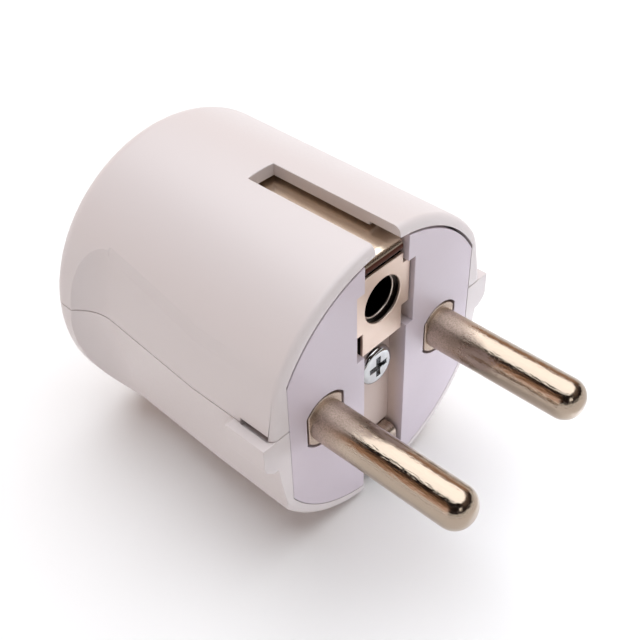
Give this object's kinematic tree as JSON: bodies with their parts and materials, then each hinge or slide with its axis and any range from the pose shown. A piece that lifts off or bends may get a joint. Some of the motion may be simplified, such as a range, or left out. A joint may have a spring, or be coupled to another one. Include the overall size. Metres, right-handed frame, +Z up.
{
  "type": "type f plug",
  "caption": "Rewirable mains plug with a waisted round split housing, round contact pins, earth strips in slots above and below, a female earth socket and a rear cord inlet.",
  "frame": {"origin": "in the plane of the engagement face, midway between the two contact pins", "axes": "+Y from the face back to the cord inlet, so the pins point along -Y; +X from pin to pin; +Z up, from the pins towards the earth socket"},
  "size_m": [0.0368, 0.0554, 0.0368],
  "materials": {
    "housing": "warm white moulding, semi-gloss",
    "carrier": "cool white moulding, semi-gloss",
    "insulator": "satin moulding",
    "pin_plating": "nickel plated brass",
    "earth_plating": "nickel plated brass sheet",
    "screw_steel": "zinc plated steel"
  },
  "bodies": {
    "root": {"base": "housing", "cover": "housing", "contact_carrier": "carrier", "pin_retainer": "insulator", "cord_clamp": "insulator", "pin_left": "pin_plating", "pin_right": "pin_plating", "earth_plate": "earth_plating", "earth_sleeve": "earth_plating", "earth_strip_upper": "earth_plating", "earth_strip_lower": "earth_plating", "earth_link": "earth_plating", "earth_clamp_washer": "screw_steel", "cover_screw": "screw_steel", "cover_nut": "screw_steel", "terminal_screw_left": "screw_steel", "terminal_screw_right": "screw_steel", "cord_clamp_screw_left": "screw_steel", "cord_clamp_screw_right": "screw_steel", "earth_terminal_screw": "screw_steel"}
  },
  "joints": []
}
